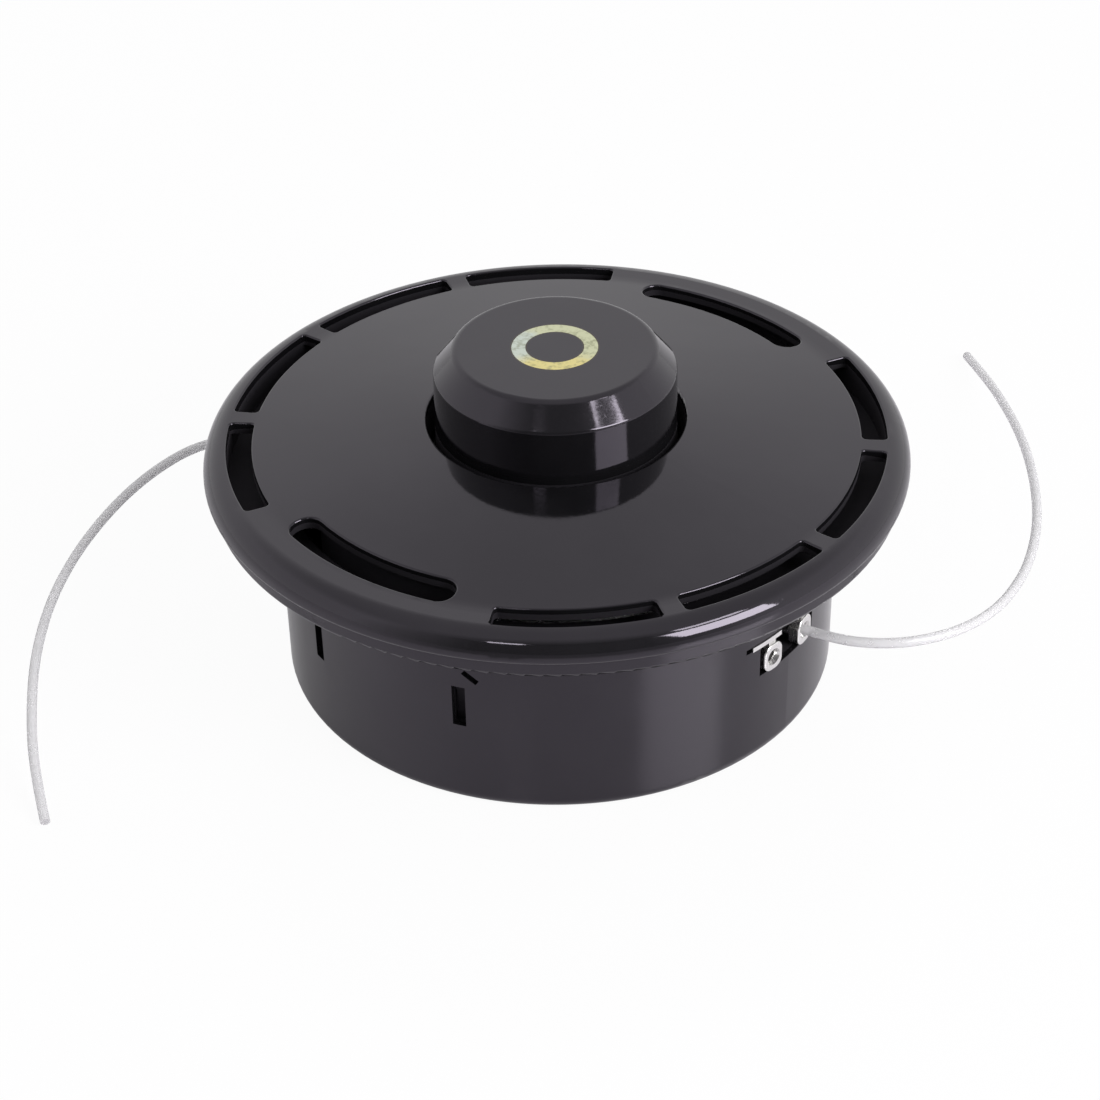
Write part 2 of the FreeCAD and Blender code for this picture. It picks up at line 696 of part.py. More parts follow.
def all_parts():
    """Every piece under the name of its file."""
    eyelet = make_eyelet()
    plate = make_eyelet_plate()
    parts = {
        "case": make_case(),
        "cover": make_cover(),
        "bump_knob": make_knob(),
        "knob_screws": make_screws(),
        "spool": make_spool(),
        "spool_bush": ring(bush_in_r, bush_out_r, BOSS_LOW_Z, SPOOL_TOP_Z),
        "wound_line": ring(core_r + SNUG, wound_r, SPOOL_LOW_Z + FLANGE_T, SPOOL_TOP_Z - FLANGE_T),
        "spring": make_spring(),
        "spring_seat": ring(seat_in_r, washer_out_r, seat_low_z, seat_top_z),
        "spring_base_washer": ring(HUB_R + WASHER_CLEAR, washer_out_r, FLOOR_T, washer_top_z),
        "arbor_nut": make_nut(),
        "nut_retainer": ring(RETAINER_IN_R, HUB_BORE_R - SNUG, nut_top_z, nut_top_z + RETAINER_T),
        "line_right": make_line(RIGHT_ROUTE, "line_right"),
        "line_left": make_line(LEFT_ROUTE, "line_left")}
    for side, label in zip(sides(), ("right", "left")):
        parts["eyelet_plate_" + label] = around(plate, side)
        parts["eyelet_" + label + "_used"] = around(eyelet, side + EYELET_DEG)
        parts["eyelet_" + label + "_spare"] = around(eyelet, side - SPARE_DEG)
    return parts


os.makedirs("parts", exist_ok=True)
for name, shape in all_parts().items():
    print(name, shape.isValid(), len(shape.Solids), round(shape.Volume / 1000, 3), "cm3")
    shape.exportStep("parts/" + name + ".step")
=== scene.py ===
# %% [markdown]
# # Trimmer head
# The head is a black cup with a slotted cover, a bevelled knob in the middle and two nylon
# lines that leave through metal eyelets. The measured solids are loaded first and stay as they
# are. The steps after that add the two loose lines, the light, the finishes, the line wound
# inside, the nut's thread and a copy of the spring.

# %% Load the measured solids
import math

import bpy
from mathutils import Matrix, Vector


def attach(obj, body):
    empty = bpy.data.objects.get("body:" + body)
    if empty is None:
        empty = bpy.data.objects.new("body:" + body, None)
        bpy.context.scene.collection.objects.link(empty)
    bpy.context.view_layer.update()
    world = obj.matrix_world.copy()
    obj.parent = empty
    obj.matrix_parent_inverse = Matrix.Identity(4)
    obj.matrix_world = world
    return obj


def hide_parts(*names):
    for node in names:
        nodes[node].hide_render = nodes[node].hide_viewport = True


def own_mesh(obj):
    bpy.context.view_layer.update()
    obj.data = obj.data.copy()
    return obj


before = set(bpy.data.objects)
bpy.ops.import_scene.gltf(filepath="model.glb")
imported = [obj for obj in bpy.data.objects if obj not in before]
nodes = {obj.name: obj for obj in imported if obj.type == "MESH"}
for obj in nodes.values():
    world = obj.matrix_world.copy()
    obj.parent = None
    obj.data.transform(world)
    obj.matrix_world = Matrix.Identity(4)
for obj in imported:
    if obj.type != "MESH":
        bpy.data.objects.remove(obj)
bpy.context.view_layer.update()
MM = 0.001
print("loaded", len(nodes), "solids")

# %% [markdown]
# ## Camera
# The photograph was taken from in front and above, with a long lens, so the head shows little
# perspective. A camera could be placed by eye, but a place, a point that it looks at and a small
# roll can be worked out from edges whose real size is known, and then every piece falls where
# the photograph has it.

# %% Camera at the photograph's angle
CAMERA_PLACE = Vector((310.215, -410.178, 380.486)) * MM
CAMERA_AIM = Vector((9.64, -15.47, 35.0)) * MM
CAMERA_ROLL_DEG = -1.124
CAMERA_VIEW_DEG = 20.22


def make_camera():
    data = bpy.data.cameras.new("camera")
    data.sensor_fit = "HORIZONTAL"
    data.angle = math.radians(CAMERA_VIEW_DEG)
    camera = bpy.data.objects.new("camera", data)
    bpy.context.scene.collection.objects.link(camera)
    look = (CAMERA_AIM - CAMERA_PLACE).to_track_quat("-Z", "Y")
    roll = Matrix.Rotation(math.radians(CAMERA_ROLL_DEG), 3, "Z")
    camera.rotation_euler = (look.to_matrix() @ roll).to_euler()
    camera.location = CAMERA_PLACE
    bpy.context.scene.camera = camera


make_camera()
print("camera", round((CAMERA_PLACE - CAMERA_AIM).length / MM), "mm from the point that it looks at")

# %% [markdown]
# ## The two lines
# A trimmer line is stiff round nylon that keeps some of the curl of its spool. A bent tube mesh
# could show it, but a curve keeps its true length and roundness: each line is one smooth spline
# through a few listed points, from the wound roll, through its eyelet and down to the
# floor. The ends were cut square, so they are closed flat. Each point carries the line's radius,
# so a line that wears thin somewhere needs only a smaller radius there.

# %% Routes and curves of the lines
LINE_D = 2.0 * MM
RIGHT_ROUTE = [
    (38.0, -11.1, 23.2), (39.5, -2.1, 23.2), (46.25, 4.13, 23.2), (62.0, 5.53, 23.2),
    (69.3, 8.8, 23.1), (75.5, 14.0, 23.0), (80.6, 22.5, 22.7), (82.6, 33.5, 22.1),
    (81.1, 45.5, 21.3), (77.3, 57.7, 20.2), (70.6, 72.1, 18.5), (59.4, 90.2, 15.6),
    (46.4, 107.7, 12.0), (30.5, 125.9, 7.2), (18.3, 138.5, 3.1), (12.6, 144.3, 1.1)]
LEFT_ROUTE = [
    (-38.0, 11.1, 23.2), (-39.5, 2.1, 23.2), (-46.25, -4.13, 23.2), (-62.0, -5.53, 23.2),
    (-73.5, -5.2, 23.1), (-81.9, -7.7, 22.8), (-86.6, -13.9, 22.2), (-88.3, -22.5, 21.5),
    (-88.4, -32.5, 20.5), (-87.0, -43.0, 19.2), (-84.3, -54.5, 17.3), (-79.3, -67.0, 15.0),
    (-72.0, -79.1, 11.9), (-63.0, -89.8, 8.4), (-54.0, -98.7, 4.8), (-44.4, -106.0, 1.1)]
STEPS_BETWEEN_POINTS = 12
ROUND_STEPS = 5


def make_line(name, route):
    data = bpy.data.curves.new(name, "CURVE")
    data.dimensions = "3D"
    spline = data.splines.new("NURBS")
    spline.points.add(len(route) - 1)
    for point, place in zip(spline.points, route):
        point.co = (*(Vector(place) * MM), 1.0)
        point.radius = LINE_D / 2
    spline.order_u = 3
    spline.use_endpoint_u = True
    spline.resolution_u = STEPS_BETWEEN_POINTS
    data.bevel_depth = 1.0
    data.bevel_resolution = ROUND_STEPS
    data.use_fill_caps = True
    line = bpy.data.objects.new(name, data)
    bpy.context.scene.collection.objects.link(line)
    return line


def lay_line(name, node, route):
    line = make_line(name, route)
    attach(line, "head")
    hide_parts(node)
    return line


lines = [lay_line("loose_line_right", "line_right", RIGHT_ROUTE),
         lay_line("loose_line_left", "line_left", LEFT_ROUTE)]
print("lines", [line.name for line in lines])

# %% [markdown]
# ## Floor, light and sky
# The head was photographed on white under wide soft light, and the gloss of its plastic is almost
# all reflection of that white. Many lamps could do it, but an even pale sky gives the same wide
# reflection everywhere. Its one darker patch is the room behind the camera, which the rim and the
# knob's bevel mirror. Two broad lamps to the right, like the panes of a window, and a small one in
# front give the bright lines on the rim, the bevel and the knob's side. The floor looks white, yet
# keeps the head's shadow.

# %% Maths on sockets
class Signal:
    """One output socket, so that the maths of a finish reads like ordinary sums."""

    def __init__(self, board, socket):
        self.board = board
        self.socket = socket

    def maths(self, operation, first, second=0.0):
        return self.board.add("ShaderNodeMath", {"operation": operation}, {0: first, 1: second})

    def __add__(self, other):
        return self.maths("ADD", self, other)

    def __radd__(self, other):
        return self.maths("ADD", other, self)

    def __sub__(self, other):
        return self.maths("SUBTRACT", self, other)

    def __rsub__(self, other):
        return self.maths("SUBTRACT", other, self)

    def __mul__(self, other):
        return self.maths("MULTIPLY", self, other)

    def __rmul__(self, other):
        return self.maths("MULTIPLY", other, self)

    def __truediv__(self, other):
        return self.maths("DIVIDE", self, other)

    def __pow__(self, other):
        return self.maths("POWER", self, other)

    def __gt__(self, other):
        return self.maths("GREATER_THAN", self, other)

    def __lt__(self, other):
        return self.maths("LESS_THAN", self, other)


class Board:
    """A node tree and the one method that adds any node to it."""

    def __init__(self, tree):
        self.tree = tree

    def add(self, kind, settings=None, inputs=None, output=0):
        node = self.tree.nodes.new(kind)
        for name, value in (settings or {}).items():
            if name == "stops":
                self.set_stops(node.color_ramp, value)
            else:
                setattr(node, name, value)
        for name, value in (inputs or {}).items():
            if isinstance(value, Signal):
                self.tree.links.new(value.socket, node.inputs[name])
            else:
                node.inputs[name].default_value = value
        return Signal(self, node.outputs[output])

    def set_stops(self, ramp, stops):
        while len(ramp.elements) < len(stops):
            ramp.elements.new(1.0)
        for element, (position, grey) in zip(ramp.elements, stops):
            element.position = position
            element.color = (grey, grey, grey, 1.0)

    def parts_of(self, place):
        """The three numbers of a vector."""
        outputs = self.add("ShaderNodeSeparateXYZ", {}, {0: place}).socket.node.outputs
        return [Signal(self, socket) for socket in outputs]

    def vector(self, operation, first, second=(0.0, 0.0, 0.0)):
        return self.add("ShaderNodeVectorMath", {"operation": operation}, {0: first, 1: second})

    def between(self, factor, first, second):
        """Number between two numbers."""
        return self.add("ShaderNodeMix", {"data_type": "FLOAT"}, {0: factor, 2: first, 3: second})

    def blend(self, factor, first, second):
        """Colour between two colours."""
        return self.add("ShaderNodeMix", {"data_type": "RGBA"}, {0: factor, 6: first, 7: second}, 2)

    def ramp(self, factor, *stops):
        """Grey value from a ramp of (position, value) stops."""
        return self.add("ShaderNodeValToRGB", {"stops": stops}, {0: factor})

    def noise(self, place, scale, detail=2.0, roughness=0.5):
        return self.add("ShaderNodeTexNoise", {}, {"Vector": place, "Scale": scale, "Detail": detail,
                        "Roughness": roughness})

    def fine_noise(self, place, scale):
        """Noise with sharper small marks inside the large ones."""
        return self.noise(place, scale, detail=3.0, roughness=0.6)

    def feed(self, node, socket, signal):
        self.tree.links.new(signal.socket, node.inputs[socket])


def seen_directly(board):
    """1 for rays from the camera and rays that arrive by a mirror or through glass."""
    total = board.add("ShaderNodeLightPath", {}, {}, "Is Camera Ray")
    for ray in ("Is Glossy Ray", "Is Transmission Ray"):
        total = total + board.add("ShaderNodeLightPath", {}, {}, ray)
    return total.maths("MINIMUM", total, 1.0)


print("node helpers ready")

# %% Sky
WHITE = (1.0, 1.0, 1.0, 1.0)
SKY_LIGHT = 0.75
SKY_SEEN = 1.0
SKY_TOP = 0.70
TOP_FROM = 0.60
TOP_TO = 0.80
ROOM_DARKNESS = 0.85
ROOM_SLANT = 0.25
ROOM_FULL_TO = 0.47
ROOM_ENDS_AT = 0.70
SIDE_FROM = 0.45
SIDE_TO = 0.90
CAMERA_SIDE = Vector((CAMERA_PLACE.x, CAMERA_PLACE.y, 0.0)).normalized()


def on_camera_side(board, across):
    """1 where a direction points to the camera's side of the head, 0 elsewhere."""
    return board.ramp(across, (SIDE_FROM, 0.0), (SIDE_TO, 1.0))


def room_behind_camera(board):
    """1 in the low part of the sky on the camera's side, 0 in the rest of it."""
    direction = board.add("ShaderNodeTexCoord", {}, {}, "Generated")
    level = board.vector("MULTIPLY", direction, (1.0, 1.0, 0.0))
    across = board.add("ShaderNodeVectorMath", {"operation": "DOT_PRODUCT"},
                       {0: board.vector("NORMALIZE", level), 1: CAMERA_SIDE}, "Value")
    height = board.parts_of(direction)[2]
    low = board.ramp(height - across * ROOM_SLANT, (ROOM_FULL_TO, 1.0), (ROOM_ENDS_AT, 0.0))
    return low * on_camera_side(board, across)


def overhead(board):
    """The sky's share of its full light: a little less towards the top."""
    direction = board.add("ShaderNodeTexCoord", {}, {}, "Generated")
    return board.ramp(board.parts_of(direction)[2], (TOP_FROM, 1.0), (TOP_TO, SKY_TOP))


def make_sky():
    world = bpy.data.worlds.new("white_sky")
    world.use_nodes = True
    world.node_tree.nodes.clear()
    board = Board(world.node_tree)
    camera_ray = board.add("ShaderNodeLightPath", {}, {}, "Is Camera Ray")
    shade = (1 - camera_ray) * room_behind_camera(board) * ROOM_DARKNESS
    level = seen_directly(board) * (SKY_SEEN - SKY_LIGHT) + SKY_LIGHT
    uneven = board.between(camera_ray, overhead(board), 1.0)
    strength = level * uneven * (1 - shade)
    light = board.add("ShaderNodeBackground", {}, {"Color": WHITE, "Strength": strength})
    output = world.node_tree.nodes.new("ShaderNodeOutputWorld")
    board.feed(output, "Surface", light)
    bpy.context.scene.world = world


make_sky()
print("sky made, darker towards", [round(value, 2) for value in CAMERA_SIDE])

# %% Floor
FLOOR_COLOUR = (0.87, 0.84, 0.89, 1.0)
FLOOR_ROUGHNESS = 0.20
FLOOR_IOR = 1.75
FLOOR_HALF = 6.0
FLOOR_GLOW = 0.95
FLOOR_GLOW_MIRRORED = 0.15
FLOOR_NEAR_R = 0.15
FLOOR_FAR_R = 0.24
FLOOR_FAR_SHARE = 0.62
FLOOR_FAR_GLOW = 0.2


def floor_glow(board):
    """The share of plain glow, and its strength: mirrors see the far floor in shadow."""
    through = board.add("ShaderNodeLightPath", {}, {}, "Is Transmission Ray")
    mirror_ray = board.add("ShaderNodeLightPath", {}, {}, "Is Glossy Ray") * (1 - through)
    clear_ray = seen_directly(board) - mirror_ray
    x, y, _ = board.parts_of(board.add("ShaderNodeTexCoord", {}, {}, "Object"))
    distance = (x * x + y * y) ** 0.5
    across = (x * CAMERA_SIDE.x + y * CAMERA_SIDE.y) / distance
    far = board.ramp(distance, (FLOOR_NEAR_R, 0.0), (FLOOR_FAR_R, 1.0)) * mirror_ray
    far = far * on_camera_side(board, across)
    share = clear_ray * FLOOR_GLOW + mirror_ray * FLOOR_GLOW_MIRRORED + far * FLOOR_FAR_SHARE
    return share, board.between(far, 1.0, FLOOR_FAR_GLOW)


def make_floor():
    material = bpy.data.materials.new("floor_white")
    material.use_nodes = True
    material.node_tree.nodes.clear()
    board = Board(material.node_tree)
    lacquer = board.add("ShaderNodeBsdfPrincipled", {}, {"Base Color": FLOOR_COLOUR,
                        "Roughness": FLOOR_ROUGHNESS, "IOR": FLOOR_IOR})
    share, strength = floor_glow(board)
    glow = board.add("ShaderNodeEmission", {}, {"Color": WHITE, "Strength": strength})
    mixed = board.add("ShaderNodeMixShader", {}, {0: share, 1: lacquer, 2: glow})
    output = material.node_tree.nodes.new("ShaderNodeOutputMaterial")
    board.feed(output, "Surface", mixed)
    mesh = bpy.data.meshes.new("floor")
    corners = [(-FLOOR_HALF, -FLOOR_HALF, 0), (FLOOR_HALF, -FLOOR_HALF, 0),
               (FLOOR_HALF, FLOOR_HALF, 0), (-FLOOR_HALF, FLOOR_HALF, 0)]
    mesh.from_pydata(corners, [], [(0, 1, 2, 3)])
    mesh.materials.append(material)
    floor = bpy.data.objects.new("floor", mesh)
    bpy.context.scene.collection.objects.link(floor)


make_floor()
bpy.context.scene.view_settings.view_transform = "Standard"
print("floor made")

# %% Soft lamps
LAMP_DISTANCE = 1.3
HEAD_MIDDLE = Vector((0.0, 0.0, 0.05))
FACING_FROM = 0.78
FACING_TO = 0.92
FACING_SHARE = 0.06


def shade_lamp(tree):
    """A lamp that the camera faces across the head is turned down, or its glare hides the cover."""
    tree.nodes.clear()
    board = Board(tree)
    facing = board.parts_of(board.add("ShaderNodeCameraData", {}, {}, "View Vector"))[2]
    strength = board.ramp(facing, (FACING_FROM, 1.0), (FACING_TO, FACING_SHARE))
    glow = board.add("ShaderNodeEmission", {}, {"Color": WHITE, "Strength": strength})
    board.feed(tree.nodes.new("ShaderNodeOutputLight"), "Surface", glow)


def make_lamp(name, azimuth_deg, height_deg, width, height, watts):
    data = bpy.data.lights.new(name, "AREA")
    data.shape = "RECTANGLE"
    data.size = width
    data.size_y = height
    data.energy = watts
    data.use_nodes = True
    shade_lamp(data.node_tree)
    lamp = bpy.data.objects.new(name, data)
    bpy.context.scene.collection.objects.link(lamp)
    azimuth = math.radians(azimuth_deg)
    rise = math.radians(height_deg)
    away = Vector((math.cos(azimuth) * math.cos(rise), math.sin(azimuth) * math.cos(rise),
                   math.sin(rise)))
    lamp.location = HEAD_MIDDLE + away * LAMP_DISTANCE
    lamp.rotation_euler = (-away).to_track_quat("-Z", "Y").to_euler()
    print(name, "shines with", watts, "W")


make_lamp("window_lamp", azimuth_deg=-2.0, height_deg=27.3, width=0.68, height=0.565, watts=14.6)
make_lamp("window_lamp_top", azimuth_deg=2.0, height_deg=47.0, width=0.42, height=0.13, watts=1.6)
make_lamp("near_lamp", azimuth_deg=-71.0, height_deg=43.5, width=0.20, height=0.10, watts=0.6)

# %% [markdown]
# ## Finishes
# A finish could be one colour with one gloss, but moulded plastic, plated metal and nylon differ
# most in the small things. Each one here is built from the same few nodes: where a point lies on
# the piece, some noise at the size of the real marks, and sums that turn it into colour, gloss
# and small bumps.

# %% A finish and how it is put on a solid
class Finish(Board):
    """A material whose shader has fixed sockets set by name and others fed by nodes."""

    def __init__(self, name, **fixed):
        self.material = bpy.data.materials.new(name)
        self.material.use_nodes = True
        super().__init__(self.material.node_tree)
        self.tree.nodes.clear()
        self.shader = self.tree.nodes.new("ShaderNodeBsdfPrincipled")
        output = self.tree.nodes.new("ShaderNodeOutputMaterial")
        self.tree.links.new(self.shader.outputs[0], output.inputs["Surface"])
        for socket, value in fixed.items():
            self.shader.inputs[socket.replace("_", " ")].default_value = value
        self.place = self.add("ShaderNodeTexCoord", {}, {}, "Object")
        self.x, self.y, self.z = self.parts_of(self.place)
        self.radius = (self.x * self.x + self.y * self.y) ** 0.5

    def stretched(self, x, y, z):
        """The place with each direction scaled, so that noise is drawn out along one of them."""
        return self.vector("MULTIPLY", self.place, (x, y, z))

    def spots(self, scale, share_from, share_to):
        """1 in scattered small spots, 0 between them."""
        return self.ramp(self.fine_noise(self.place, scale), (share_from, 0.0), (share_to, 1.0))

    def colour(self, signal):
        self.feed(self.shader, "Base Color", signal)

    def roughness(self, signal):
        self.feed(self.shader, "Roughness", signal)

    def bumps(self, height, depth):
        """Bumps whose full height is depth, in metres."""
        bump = self.add("ShaderNodeBump", {}, {"Height": height, "Distance": depth, "Strength": 1.0})
        self.feed(self.shader, "Normal", bump)


def put_on(finish, *names):
    for name in names:
        mesh = nodes[name].data
        mesh.materials.clear()
        mesh.materials.append(finish.material)
    print(finish.material.name, "on", ", ".join(names))


print("finish helpers ready")

# %% [markdown]
# ### Black moulded plastic
# The case, the cover and the knob are nylon moulded in polished steel, so they are black with a
# clear gloss outside and dull inside, where the mould's core was left rough; inside, the black is
# also painted darker as shade. Up close such a surface is never quite flat: it waves a little where
# the plastic shrank, the case's wall has upright draw marks from leaving the mould, and handling
# leaves hairs, smudges and dust.

# %% Black plastic
BLACK = (0.0052, 0.0050, 0.0058, 1.0)
# A darker black for the inner faces: painted shade.
PAINTED_SHADE_BLACK = (0.0026, 0.0026, 0.0030, 1.0)
DUSTY_BLACK = (0.016, 0.0155, 0.017, 1.0)
INSIDE_ROUGHNESS = 0.85
DUST_IN_COLOUR = 0.35
SMUDGES_IN_COLOUR = 0.3
DUST_IN_GLOSS = 0.12
SMUDGES_IN_GLOSS = 0.05
MARKS_IN_GLOSS = 0.08
WAVES_IN_BUMPS = 0.9
GRAIN_IN_BUMPS = 0.02
MARKS_IN_BUMPS = 0.06
BUMP_DEPTH = 0.06 * MM


class BlackPlastic(Finish):
    def __init__(self, name, draw=(1.0, 1.0, 1.0)):
        super().__init__(name, IOR=1.55, Specular_Tint=(0.93, 0.85, 1.0, 1.0))
        self.waves = self.noise(self.place, scale=55.0)
        self.grain = self.noise(self.place, scale=2600.0)
        self.marks = self.fine_noise(self.stretched(*draw), scale=1500.0)
        self.dust = self.spots(scale=900.0, share_from=0.66, share_to=0.74)
        self.smudges = self.spots(scale=38.0, share_from=0.42, share_to=0.75)

    def finished(self, inside, base_roughness):
        """Join the parts of the finish; inside is 1 on the faces that the mould left dull, where the
        black is also painted darker as shade.
        """
        dusty = self.dust * DUST_IN_COLOUR + self.smudges * SMUDGES_IN_COLOUR
        # On the inner faces the colour is painted darker, as shade.
        self.black = self.blend(inside, self.blend(dusty, BLACK, DUSTY_BLACK), PAINTED_SHADE_BLACK)
        self.colour(self.black)
        gloss = (base_roughness + self.smudges * SMUDGES_IN_GLOSS + self.dust * DUST_IN_GLOSS
                 + (self.marks - 0.5) * MARKS_IN_GLOSS)
        self.roughness(self.between(inside, gloss, INSIDE_ROUGHNESS))
        height = self.waves * WAVES_IN_BUMPS + self.grain * GRAIN_IN_BUMPS + self.marks * MARKS_IN_BUMPS
        self.bumps(height, BUMP_DEPTH)
        return self


print("black plastic ready")

# %% Case
CASE_ROUGHNESS = 0.11
CASE_DRAW = (1.0, 1.0, 0.035)
CASE_INSIDE_R = 54.6 * MM
CASE_FOOT_Z = 1.0 * MM
UNDER_COVER_R = 66.8 * MM
UNDER_COVER_Z = 42.5 * MM


def case_finish():
    finish = BlackPlastic("case_black", draw=CASE_DRAW)
    # The inside of the cup and the faces under the cover are dull and painted darker as shade.
    cup = (finish.radius < CASE_INSIDE_R) * (finish.z > CASE_FOOT_Z)
    under_cover = (finish.radius < UNDER_COVER_R) * (finish.z > UNDER_COVER_Z)
    return finish.finished(cup.maths("MAXIMUM", cup, under_cover), CASE_ROUGHNESS)


put_on(case_finish(), "case")

# %% Cover
COVER_ROUGHNESS = 0.045
COVER_HOLE_R = 26.0 * MM
COVER_HOLE_Z = 55.0 * MM
COVER_SLOPE = 4.0 / 35.0
COVER_SKIN = 1.1 * MM
COVER_SLOTS_R = 65.5 * MM


def cover_finish():
    finish = BlackPlastic("cover_black")
    top_z = COVER_HOLE_Z - (finish.radius - COVER_HOLE_R) * COVER_SLOPE
    # The faces below the cover's top skin, inside the ring of slots, are dull and painted darker as
    # shade.
    inside = (finish.z < top_z - COVER_SKIN) * (finish.radius < COVER_SLOTS_R)
    return finish.finished(inside, COVER_ROUGHNESS)


put_on(cover_finish(), "cover")

# %% [markdown]
# ### The knob's printed ring
# The knob is the same plastic, with a pale ring printed in the middle of its top. The ring could be
# a thin solid, but ink has no thickness to see, so it is a colour chosen by the distance
# from the axis. The ink was laid on by hand: greyish on one side, yellower towards the front, thin
# in blots, and it has bled a little into an olive edge.

# %% Knob
PRINT_INNER_R = 5.73 * MM
PRINT_OUTER_R = 8.43 * MM
PRINT_BLEED = 0.28 * MM
PRINT_CREAM = (0.56, 0.58, 0.36, 1.0)
PRINT_GREY = (0.54, 0.60, 0.52, 1.0)
PRINT_YELLOW = (0.70, 0.61, 0.22, 1.0)
PRINT_THIN = (0.16, 0.17, 0.07, 1.0)
PRINT_OLIVE = (0.030, 0.022, 0.006, 1.0)
PRINT_Z = 69.0 * MM
BLOT_SCALE = 420.0
BLOT_SHARE = 0.5
GREY_FROM = 0.80
GREY_TO = 1.0
YELLOW_FROM = 0.62
YELLOW_TO = 0.98
THIN_SHARE = 0.7
KNOB_INSIDE_Z = 54.0 * MM
KNOB_ROUGHNESS = 0.06


def ring_between(finish, inner_r, outer_r):
    return (finish.radius > inner_r) * (finish.radius < outer_r) * (finish.z > PRINT_Z)


def towards(finish, azimuth_deg):
    """1 where a point lies at this azimuth from the axis, -1 where it lies opposite."""
    azimuth = math.radians(azimuth_deg)
    return (finish.x * math.cos(azimuth) + finish.y * math.sin(azimuth)) / finish.radius


def print_colour(finish):
    near = math.degrees(math.atan2(CAMERA_SIDE.y, CAMERA_SIDE.x))
    blot = finish.noise(finish.place, BLOT_SCALE) * BLOT_SHARE
    grey = finish.ramp(towards(finish, near - 90.0) + blot, (GREY_FROM, 0.0), (GREY_TO, 1.0))
    yellow = finish.ramp(towards(finish, near) + blot, (YELLOW_FROM, 0.0), (YELLOW_TO, 1.0))
    full = finish.blend(yellow, finish.blend(grey, PRINT_CREAM, PRINT_GREY), PRINT_YELLOW)
    thin = finish.spots(scale=900.0, share_from=0.48, share_to=0.72)
    return finish.blend(thin * THIN_SHARE, full, PRINT_THIN)


def knob_finish():
    finish = BlackPlastic("knob_black")
    # The knob below the cover is dull and painted darker as shade.
    finish.finished(finish.z < KNOB_INSIDE_Z, KNOB_ROUGHNESS)
    bleed = ring_between(finish, PRINT_INNER_R - PRINT_BLEED, PRINT_OUTER_R + PRINT_BLEED)
    ink = ring_between(finish, PRINT_INNER_R, PRINT_OUTER_R)
    edged = finish.blend(bleed, finish.black, PRINT_OLIVE)
    finish.colour(finish.blend(ink, edged, print_colour(finish)))
    return finish


put_on(knob_finish(), "bump_knob")

# %% [markdown]
# ### Dark plastic, bush, metals and line
# The spool is a plainer moulding, satin all over, and its bush is undyed acetal. The eyelets and
# their plates are plated, so they are bright and only slightly brushed. Zinc on the nut, screws and
# washers is duller and cloudy, and the spring is bare drawn wire. The line is milky nylon: half
# of the light goes through it, blurred, which a plain white could not show.

# %% Spool and bush
SPOOL_DARK = (0.016, 0.016, 0.018, 1.0)
SPOOL_SHADE = (0.022, 0.022, 0.024, 1.0)
ACETAL = (0.72, 0.69, 0.62, 1.0)
ACETAL_SHADE = (0.64, 0.60, 0.52, 1.0)
CLOUDS_IN_COLOUR = 0.8
GRAIN_IN_GLOSS = 0.1
GRAIN_DEPTH = 0.012 * MM


def satin_plastic(name, colour, shade, roughness):
    finish = Finish(name, IOR=1.5)
    clouds = finish.noise(finish.place, scale=60.0, detail=3.0)
    grain = finish.noise(finish.place, scale=2200.0)
    finish.colour(finish.blend(clouds * CLOUDS_IN_COLOUR, colour, shade))
    finish.roughness((grain - 0.5) * GRAIN_IN_GLOSS + roughness)
    finish.bumps(grain, GRAIN_DEPTH)
    return finish


put_on(satin_plastic("dark_plastic", SPOOL_DARK, SPOOL_SHADE, roughness=0.46), "spool")
put_on(satin_plastic("bush_plastic", ACETAL, ACETAL_SHADE, roughness=0.42), "spool_bush")

# %% Metals
BRUSHING_IN_GLOSS = 0.16
CLOUDS_IN_GLOSS = 0.08


def metal(name, colour, shade, roughness, marks_scale, marks_stretch, depth):
    finish = Finish(name, Metallic=1.0)
    clouds = finish.noise(finish.place, scale=180.0, detail=3.0)
    marks = finish.fine_noise(finish.stretched(*marks_stretch), marks_scale)
    finish.colour(finish.blend(clouds, colour, shade))
    finish.roughness((marks - 0.5) * BRUSHING_IN_GLOSS + clouds * CLOUDS_IN_GLOSS + roughness)
    finish.bumps(marks, depth)
    return finish


bright_metal = metal("bright_metal", colour=(0.86, 0.85, 0.84, 1.0), shade=(0.76, 0.75, 0.74, 1.0),
                     roughness=0.22, marks_scale=1400.0, marks_stretch=(1.0, 1.0, 0.12),
                     depth=0.004 * MM)
zinc_steel = metal("zinc_steel", colour=(0.60, 0.61, 0.63, 1.0), shade=(0.50, 0.51, 0.52, 1.0),
                   roughness=0.34, marks_scale=1100.0, marks_stretch=(1.0, 1.0, 1.0),
                   depth=0.006 * MM)
spring_steel = metal("spring_steel", colour=(0.40, 0.40, 0.41, 1.0), shade=(0.30, 0.30, 0.31, 1.0),
                     roughness=0.28, marks_scale=1800.0, marks_stretch=(1.0, 1.0, 0.4),
                     depth=0.004 * MM)
put_on(bright_metal, "eyelet_plate_right", "eyelet_plate_left", "eyelet_right_used",
       "eyelet_right_spare", "eyelet_left_used", "eyelet_left_spare")
put_on(zinc_steel, "knob_screws", "spring_seat", "spring_base_washer")
put_on(spring_steel, "spring", "nut_retainer")

# %% Nylon line
NYLON_MILKY = (0.89, 0.88, 0.90, 1.0)
NYLON_CLOUD = (0.85, 0.84, 0.86, 1.0)
NYLON_ROUGHNESS = 0.25
RUBS_IN_GLOSS = 0.1


